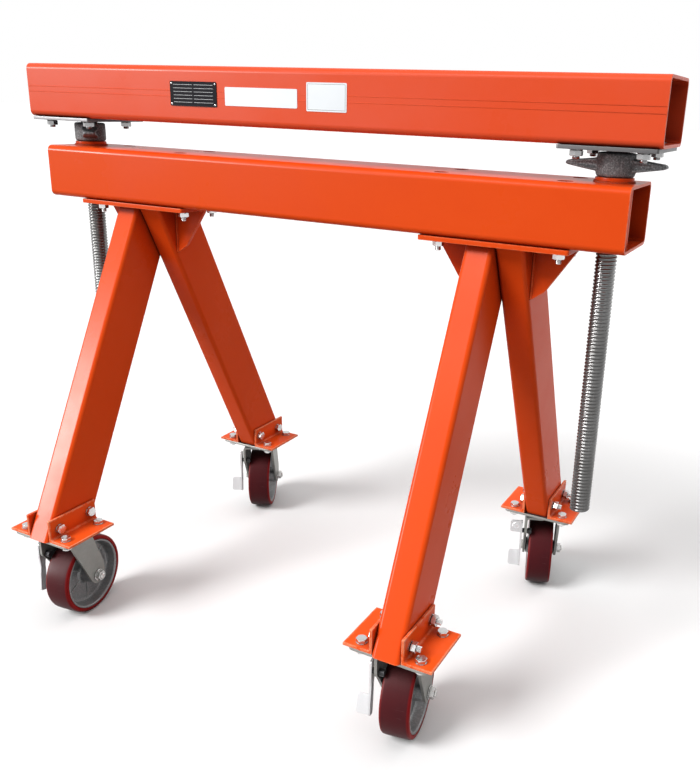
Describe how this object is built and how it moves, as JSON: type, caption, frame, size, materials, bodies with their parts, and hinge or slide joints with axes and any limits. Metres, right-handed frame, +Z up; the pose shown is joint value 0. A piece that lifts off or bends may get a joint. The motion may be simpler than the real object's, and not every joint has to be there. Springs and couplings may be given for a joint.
{
  "type": "height-adjustable lifting trestle",
  "caption": "Mobile lifting trestle: upper box beam on screw jacks over a lower box beam and splayed A-frames with braked swivel casters.",
  "frame": {"origin": "floor level, centre of the bounding box", "axes": "+X along the beams, +Y towards the wheels' trailing side, +Z up"},
  "size_m": [1.25, 0.7606, 1.0699],
  "materials": {
    "orange_paint": "gloss safety orange",
    "nameplate_black": "satin black",
    "screw_steel": "plain bright steel",
    "galvanised_plate": "dull galvanised",
    "cast_nut": "as cast, dark",
    "tread_polyurethane": "satin maroon polyurethane",
    "wheel_core_iron": "grey painted casting",
    "bright_pedal": "bright zinc",
    "bright_fastener": "bright zinc",
    "caster_zinc": "grey zinc"
  },
  "bodies": {
    "stand": {"caster_plate_back_left": "caster_zinc", "caster_plate_back_right": "caster_zinc", "caster_plate_front_left": "caster_zinc", "caster_plate_front_right": "caster_zinc", "caster_race_back_left": "caster_zinc", "caster_race_back_right": "caster_zinc", "caster_race_front_left": "caster_zinc", "caster_race_front_right": "caster_zinc", "foot_bracket_back_left_inner": "orange_paint", "foot_bracket_back_left_outer": "orange_paint", "foot_bracket_back_right_inner": "orange_paint", "foot_bracket_back_right_outer": "orange_paint", "foot_bracket_front_left_inner": "orange_paint", "foot_bracket_front_left_outer": "orange_paint", "foot_bracket_front_right_inner": "orange_paint", "foot_bracket_front_right_outer": "orange_paint", "guide_sleeve_left": "orange_paint", "guide_sleeve_right": "orange_paint", "gusset_back_left": "orange_paint", "gusset_back_right": "orange_paint", "gusset_front_left": "orange_paint", "gusset_front_right": "orange_paint", "head_plate_left": "orange_paint", "head_plate_right": "orange_paint", "leg_back_left": "orange_paint", "leg_back_right": "orange_paint", "leg_front_left": "orange_paint", "leg_front_right": "orange_paint", "lower_beam": "orange_paint"},
    "lifting_beam": {"jack_plate_left": "galvanised_plate", "jack_plate_right": "galvanised_plate", "jack_screw_left": "screw_steel", "jack_screw_right": "screw_steel", "nameplate": "nameplate_black", "top_beam": "orange_paint"},
    "nut_left": {"wing_nut_left": "cast_nut"},
    "nut_right": {"wing_nut_right": "cast_nut"},
    "swivel_front_left": {"fork_front_left": "caster_zinc", "axle_front_left": "bright_fastener"},
    "wheel_front_left": {"wheel_core_front_left": "wheel_core_iron", "tyre_front_left": "tread_polyurethane"},
    "brake_front_left": {"brake_pedal_front_left": "bright_pedal"},
    "swivel_front_right": {"fork_front_right": "caster_zinc", "axle_front_right": "bright_fastener"},
    "wheel_front_right": {"wheel_core_front_right": "wheel_core_iron", "tyre_front_right": "tread_polyurethane"},
    "brake_front_right": {"brake_pedal_front_right": "bright_pedal"},
    "swivel_back_left": {"fork_back_left": "caster_zinc", "axle_back_left": "bright_fastener"},
    "wheel_back_left": {"wheel_core_back_left": "wheel_core_iron", "tyre_back_left": "tread_polyurethane"},
    "brake_back_left": {"brake_pedal_back_left": "bright_pedal"},
    "swivel_back_right": {"fork_back_right": "caster_zinc", "axle_back_right": "bright_fastener"},
    "wheel_back_right": {"wheel_core_back_right": "wheel_core_iron", "tyre_back_right": "tread_polyurethane"},
    "brake_back_right": {"brake_pedal_back_right": "bright_pedal"}
  },
  "joints": [
    {"name": "lift", "type": "slide", "parent": "stand", "child": "lifting_beam", "axis": [0, 0, 1], "range_m": [0, 0.4]},
    {"name": "nut_left_turn", "type": "hinge", "parent": "stand", "child": "nut_left", "pos_m": [-0.545, -0.03061, 0.9236], "axis": [0, 0, 1], "continuous": true},
    {"name": "nut_right_turn", "type": "hinge", "parent": "stand", "child": "nut_right", "pos_m": [0.545, -0.03061, 0.9236], "axis": [0, 0, 1], "continuous": true},
    {"name": "swivel_front_left_turn", "type": "hinge", "parent": "stand", "child": "swivel_front_left", "pos_m": [-0.40115, -0.31836, 0.201], "axis": [0, 0, 1], "continuous": true},
    {"name": "wheel_front_left_spin", "type": "hinge", "parent": "swivel_front_left", "child": "wheel_front_left", "pos_m": [-0.40633, -0.27618, 0.08], "axis": [0.9925, 0.1219, 0], "continuous": true},
    {"name": "brake_front_left_press", "type": "hinge", "parent": "swivel_front_left", "child": "brake_front_left", "pos_m": [-0.39911, -0.33496, 0.14577], "axis": [0.9925, 0.1219, 0], "range_deg": [0, 14]},
    {"name": "swivel_front_right_turn", "type": "hinge", "parent": "stand", "child": "swivel_front_right", "pos_m": [0.35085, -0.31836, 0.201], "axis": [0, 0, 1], "continuous": true},
    {"name": "wheel_front_right_spin", "type": "hinge", "parent": "swivel_front_right", "child": "wheel_front_right", "pos_m": [0.3442, -0.27639, 0.08], "axis": [0.9877, 0.1564, 0], "continuous": true},
    {"name": "brake_front_right_press", "type": "hinge", "parent": "swivel_front_right", "child": "brake_front_right", "pos_m": [0.35347, -0.33488, 0.14577], "axis": [0.9877, 0.1564, 0], "range_deg": [0, 14]},
    {"name": "swivel_back_left_turn", "type": "hinge", "parent": "stand", "child": "swivel_back_left", "pos_m": [-0.35085, 0.25715, 0.201], "axis": [0, 0, 1], "continuous": true},
    {"name": "wheel_back_left_spin", "type": "hinge", "parent": "swivel_back_left", "child": "wheel_back_left", "pos_m": [-0.36981, 0.29519, 0.08], "axis": [0.8949, 0.4462, 0], "continuous": true},
    {"name": "brake_back_left_press", "type": "hinge", "parent": "swivel_back_left", "child": "brake_back_left", "pos_m": [-0.34339, 0.24219, 0.14577], "axis": [0.8949, 0.4462, 0], "range_deg": [0, 14]},
    {"name": "swivel_back_right_turn", "type": "hinge", "parent": "stand", "child": "swivel_back_right", "pos_m": [0.40115, 0.25715, 0.201], "axis": [0, 0, 1], "continuous": true},
    {"name": "wheel_back_right_spin", "type": "hinge", "parent": "swivel_back_right", "child": "wheel_back_right", "pos_m": [0.38802, 0.29757, 0.08], "axis": [0.9511, 0.309, 0], "continuous": true},
    {"name": "brake_back_right_press", "type": "hinge", "parent": "swivel_back_right", "child": "brake_back_right", "pos_m": [0.40632, 0.24125, 0.14577], "axis": [0.9511, 0.309, 0], "range_deg": [0, 14]}
  ],
  "couplings": [
    {"joint": "nut_left_turn", "follows": "lift", "rad_per_m": -1047.2},
    {"joint": "nut_right_turn", "follows": "lift", "rad_per_m": -1047.2}
  ]
}
